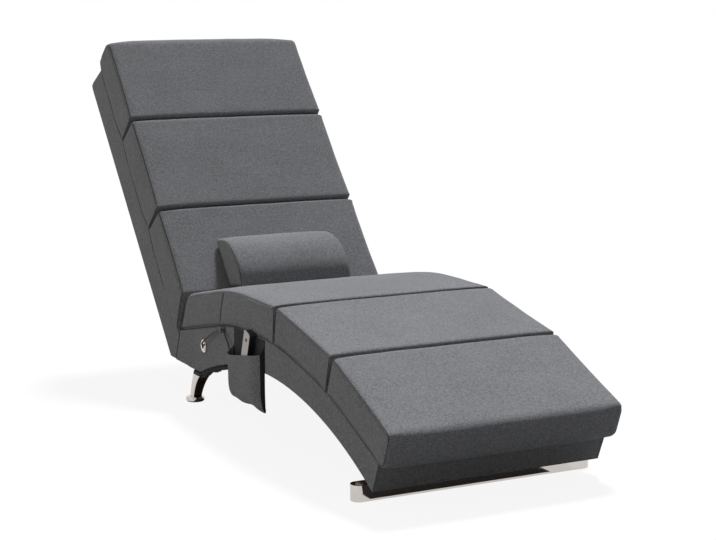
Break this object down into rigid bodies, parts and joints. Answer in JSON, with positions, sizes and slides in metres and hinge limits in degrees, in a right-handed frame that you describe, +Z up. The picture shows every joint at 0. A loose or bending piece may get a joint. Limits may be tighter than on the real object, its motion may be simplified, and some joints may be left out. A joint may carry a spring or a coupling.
{
  "type": "massage lounger",
  "caption": "Low armless chaise lounger with segmented cushions, reclined back, lumbar roll, arched base, vibration massage and a corded handset in a side pocket.",
  "frame": {"origin": "centre of the bounding box at floor level", "axes": "+X towards the sitter's left as they lie on it, +Y from the foot end towards the head end, +Z up"},
  "size_m": [0.59, 1.7965, 0.8911],
  "materials": {
    "grey_fabric": "heathered mid grey woven upholstery cloth",
    "dark_fabric": "black non-woven dust cloth",
    "webbing": "woven elastic webbing",
    "frame_wood": "unfinished plywood and softwood",
    "chrome": "polished chrome plate",
    "steel": "zinc plated steel",
    "black_plinth": "black painted timber",
    "glide_rubber": "black rubber",
    "black_plastic": "matt black moulded plastic",
    "handset_plastic": "satin silver beige moulded plastic",
    "button_grey": "dark grey silicone",
    "button_red": "dark red silicone",
    "motor_shell": "drawn steel can",
    "rotor_metal": "turned brass weight",
    "circuit_board": "green circuit board",
    "cord_black": "matt black cord sheath"
  },
  "bodies": {
    "frame": {"back_cushion_lower": "grey_fabric", "back_cushion_middle": "grey_fabric", "back_cushion_upper": "grey_fabric", "seat_cushion": "grey_fabric", "thigh_cushion": "grey_fabric", "calf_cushion": "grey_fabric", "massage_housings": "black_plastic", "massage_lids": "black_plastic", "massage_motors": "motor_shell", "back_cover": "grey_fabric", "back_side_rails": "frame_wood", "back_cross_rails": "frame_wood", "back_webbing": "webbing", "seat_side_cover_left": "grey_fabric", "seat_side_cover_right": "grey_fabric", "seat_front_cover": "grey_fabric", "seat_side_rails": "frame_wood", "seat_cross_rails": "frame_wood", "seat_webbing": "webbing", "dust_cover": "dark_fabric", "joining_plates": "steel", "joining_bolts": "steel", "front_plinth": "black_plinth", "front_foot_band": "chrome", "front_plinth_screws": "steel", "front_glides": "glide_rubber", "rear_leg_left": "chrome", "rear_leg_right": "chrome", "rear_leg_screws": "steel", "rear_leg_blocks": "frame_wood", "rear_glides": "glide_rubber", "control_box": "black_plastic", "control_box_lid": "black_plastic", "control_board": "circuit_board", "power_inlet": "black_plastic", "cord_grommet": "chrome", "cord_bush": "black_plastic", "handset_cord": "cord_black", "cord_loop": "grey_fabric", "handset_pocket": "grey_fabric"},
    "handset": {"handset_front_shell": "handset_plastic", "handset_back_shell": "handset_plastic", "handset_board": "circuit_board", "handset_boot": "cord_black"},
    "pillow": {"lumbar_pillow": "grey_fabric"},
    "power_button": {"handset_power_button": "button_red"},
    "mode_button": {"handset_mode_button": "button_grey"},
    "level_button": {"handset_level_button": "button_grey"},
    "zone_button": {"handset_zone_button": "button_grey"},
    "timer_button": {"handset_timer_button": "button_grey"},
    "rotor_upper_back_left": {"massage_rotor_upper_back_left": "rotor_metal"},
    "rotor_upper_back_right": {"massage_rotor_upper_back_right": "rotor_metal"},
    "rotor_lower_back_left": {"massage_rotor_lower_back_left": "rotor_metal"},
    "rotor_lower_back_right": {"massage_rotor_lower_back_right": "rotor_metal"},
    "rotor_thigh_left": {"massage_rotor_thigh_left": "rotor_metal"},
    "rotor_thigh_right": {"massage_rotor_thigh_right": "rotor_metal"}
  },
  "joints": [
    {"name": "handset_lift", "type": "slide", "parent": "frame", "child": "handset", "axis": [0, -0.309, 0.9511], "range_m": [0, 0.13], "deforming": ["handset_cord"]},
    {"name": "pillow_lift", "type": "slide", "parent": "frame", "child": "pillow", "axis": [0, 0, 1], "range_m": [0, 0.3]},
    {"name": "power_press", "type": "slide", "parent": "handset", "child": "power_button", "axis": [1, 0, 0], "range_m": [0, 0.001], "stiffness_N_per_m": 200},
    {"name": "mode_press", "type": "slide", "parent": "handset", "child": "mode_button", "axis": [1, 0, 0], "range_m": [0, 0.001], "stiffness_N_per_m": 200},
    {"name": "level_press", "type": "slide", "parent": "handset", "child": "level_button", "axis": [1, 0, 0], "range_m": [0, 0.001], "stiffness_N_per_m": 200},
    {"name": "zone_press", "type": "slide", "parent": "handset", "child": "zone_button", "axis": [1, 0, 0], "range_m": [0, 0.001], "stiffness_N_per_m": 200},
    {"name": "timer_press", "type": "slide", "parent": "handset", "child": "timer_button", "axis": [1, 0, 0], "range_m": [0, 0.001], "stiffness_N_per_m": 200},
    {"name": "rotor_upper_back_left_spin", "type": "hinge", "parent": "frame", "child": "rotor_upper_back_left", "pos_m": [-0.115, 0.72911, 0.73892], "axis": [1, 0, 0], "continuous": true},
    {"name": "rotor_upper_back_right_spin", "type": "hinge", "parent": "frame", "child": "rotor_upper_back_right", "pos_m": [0.115, 0.72911, 0.73892], "axis": [1, 0, 0], "continuous": true},
    {"name": "rotor_lower_back_left_spin", "type": "hinge", "parent": "frame", "child": "rotor_lower_back_left", "pos_m": [-0.115, 0.54256, 0.52279], "axis": [1, 0, 0], "continuous": true},
    {"name": "rotor_lower_back_right_spin", "type": "hinge", "parent": "frame", "child": "rotor_lower_back_right", "pos_m": [0.115, 0.54256, 0.52279], "axis": [1, 0, 0], "continuous": true},
    {"name": "rotor_thigh_left_spin", "type": "hinge", "parent": "frame", "child": "rotor_thigh_left", "pos_m": [-0.115, -0.46979, 0.23951], "axis": [1, 0, 0], "continuous": true},
    {"name": "rotor_thigh_right_spin", "type": "hinge", "parent": "frame", "child": "rotor_thigh_right", "pos_m": [0.115, -0.46979, 0.23951], "axis": [1, 0, 0], "continuous": true}
  ]
}
